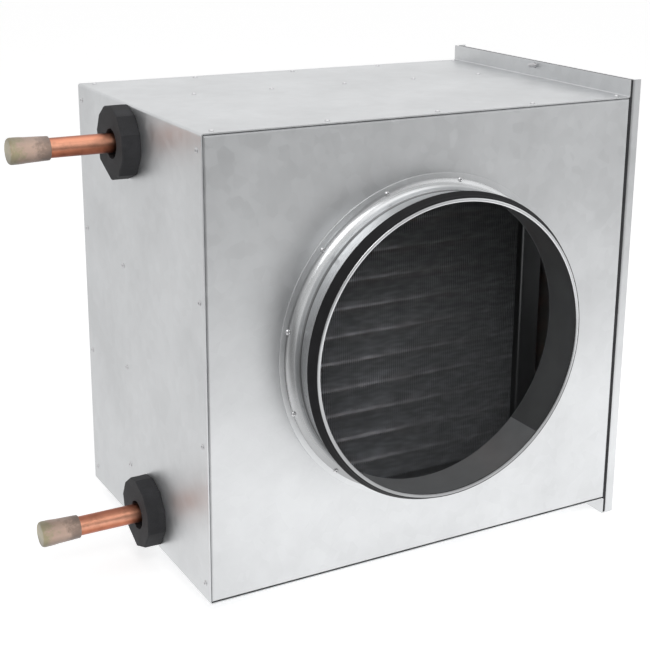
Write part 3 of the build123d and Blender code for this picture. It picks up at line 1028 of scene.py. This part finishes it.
class COIL_OT_stage(bpy.types.Operator):
    """Set the floor, the soft studio lights, the white surround and the camera"""
    bl_idname = "coil.stage"
    bl_label = "Stage"

    def execute(self, context):
        scene = context.scene
        stage = scene.coil_stage
        scene.view_settings.view_transform = "Standard"
        self.floor(stage)
        self.surround(scene)
        self.lamp("key softbox", (-0.65, -1.6, 1.5), (0, 0.15, 0), 1.15, stage.key)
        self.lamp("overhead softbox", (0.1, 0.2, 1.7), (0, 0.17, 0), 1.6, stage.overhead)
        self.lamp("fill softbox", (1.5, -1.4, 0.5), (0, 0.15, 0), 1.2, stage.fill)
        camera = bpy.data.cameras.new("photo camera")
        camera.lens = stage.lens
        camera.shift_x, camera.shift_y = -0.0728, -0.0955
        eye = linked("photo camera", camera)
        aim = Euler((math.pi / 2 + stage.pitch, 0, stage.yaw)).to_matrix()
        turn = aim @ Matrix.Rotation(stage.roll, 3, "Z")
        eye.matrix_world = Matrix.Translation(stage.eye) @ turn.to_4x4()
        scene.camera = eye
        return {"FINISHED"}

    def floor(self, stage):
        """A wide pale floor, which shows white to the camera and keeps the object's shadow."""
        mesh = bpy.data.meshes.new("floor")
        reach = 6.0
        z = FLOOR_HEIGHT - 0.2 * MM
        corners = [(-reach, -reach, z), (reach, -reach, z), (reach, reach, z), (-reach, reach, z)]
        mesh.from_pydata(corners, [], [(0, 1, 2, 3)])
        floor = linked("floor", mesh)
        finish = Finish("pale floor")
        path = finish.add("ShaderNodeLightPath").outputs
        plain = finish.sum(finish.sum(1.0, path["Is Glossy Ray"], "SUBTRACT"), stage.floor_shade, "MULTIPLY")
        axes = finish.axes()
        sweep = finish.ramp(finish.span(axes["Y"], 0.0, 1.0, -1.4, 1.2), [
            (0.0, 0.2), (0.3, 0.68), (0.36, 0.88), (0.42, 1.0), (0.5, 1.06), (0.56, 0.95), (0.66, 0.68),
            (1.0, 0.6),
        ])
        # Painted shadow: the floor's glow in reflections is darkened to the left of the object, where its
        # shadow would fall.
        beside = finish.span(axes["X"], 0.0, 0.75, -0.13, -0.42)
        before = finish.span(axes["Y"], 1.0, 0.0, -0.05, 0.2)
        painted_shadow_corner = finish.sum(beside, before, "MULTIPLY")
        sweep = finish.sum(sweep, finish.sum(1.0, painted_shadow_corner, "SUBTRACT"), "MULTIPLY")
        mirrored = finish.sum(path["Is Glossy Ray"], sweep, "MULTIPLY")
        mirrored = finish.sum(mirrored, stage.mirrored, "MULTIPLY")
        direct = finish.sum(finish.sum(path["Is Camera Ray"], path["Is Transmission Ray"]), 0.5, "MULTIPLY")
        finish.feed(Base_Color=plain, Roughness=0.8)
        finish.feed(Emission_Color=(1, 1, 1, 1), Emission_Strength=finish.sum(direct, mirrored))
        mesh.materials.append(finish.material)

    def surround(self, scene):
        """White where the camera and reflections see it, and softer as a light."""
        world = bpy.data.worlds.new("white surround")
        world.use_nodes = True
        tree = world.node_tree
        tree.nodes.clear()
        path = place(tree, "ShaderNodeLightPath").outputs
        direct = maths(tree, "ADD", path["Is Camera Ray"], path["Is Transmission Ray"])
        direction = place(tree, "ShaderNodeTexCoord").outputs["Generated"]
        way = place(tree, "ShaderNodeSeparateXYZ", {"Vector": direction})
        side = place(tree, "ShaderNodeMapRange", {
            "Value": way.outputs["Y"], "From Min": -0.7, "From Max": 0.3, "To Min": 0.1, "To Max": 1.0,
        })
        mirrored = maths(tree, "MULTIPLY", path["Is Glossy Ray"], side)
        seen = maths(tree, "ADD", direct, mirrored)
        strength = place(tree, "ShaderNodeMapRange", {"Value": seen, "To Min": 0.5, "To Max": 1.0})
        background = place(tree, "ShaderNodeBackground", {"Color": (1, 1, 1, 1), "Strength": strength})
        place(tree, "ShaderNodeOutputWorld", {"Surface": background})
        scene.world = world

    def lamp(self, name, place_at, target, width, power):
        """A soft light that faces its target."""
        data = bpy.data.lights.new(name, "AREA")
        data.size = width
        data.energy = power
        lamp = linked(name, data)
        aim = Vector(target) - Vector(place_at)
        lamp.matrix_world = Matrix.Translation(place_at) @ aim.to_track_quat("-Z", "Y").to_matrix().to_4x4()


SETTINGS = (
    ("coil_casing", CoilCasingSettings), ("coil_spigot", CoilSpigotSettings), ("coil_core", CoilCoreSettings),
    ("coil_pipes", CoilPipeSettings), ("coil_fixing", CoilFixingSettings), ("coil_stage", CoilStageSettings),
)
OPERATORS = (
    COIL_OT_sheet_metal, COIL_OT_spigots, COIL_OT_duct_seals, COIL_OT_fin_pack, COIL_OT_hairpin_tubes,
    COIL_OT_connection_pipes, COIL_OT_foam_rings, COIL_OT_pipe_caps, COIL_OT_rivets, COIL_OT_cover_screws,
    COIL_OT_cover_gasket, COIL_OT_stage,
)


class COIL_PT_pieces(bpy.types.Panel):
    """Lists the coil's settings and the operators that make its pieces"""
    bl_label = "Hot Water Coil"
    bl_space_type = "VIEW_3D"
    bl_region_type = "UI"
    bl_category = "Coil"

    def draw(self, context):
        for name, group in SETTINGS:
            box = self.layout.box()
            settings = getattr(context.scene, name)
            for key in group.__annotations__:
                box.prop(settings, key)
        for operator in OPERATORS:
            self.layout.operator(operator.bl_idname)


def register():
    for name, group in SETTINGS:
        bpy.utils.register_class(group)
        setattr(bpy.types.Scene, name, PointerProperty(type=group))
    for operator in OPERATORS:
        bpy.utils.register_class(operator)
    bpy.utils.register_class(COIL_PT_pieces)


def unregister():
    bpy.utils.unregister_class(COIL_PT_pieces)
    for operator in reversed(OPERATORS):
        bpy.utils.unregister_class(operator)
    for name, group in reversed(SETTINGS):
        delattr(bpy.types.Scene, name)
        bpy.utils.unregister_class(group)


def main():
    register()
    for operator in OPERATORS:
        getattr(bpy.ops.coil, operator.bl_idname.split(".")[1])()


if __name__ == "__main__":
    main()
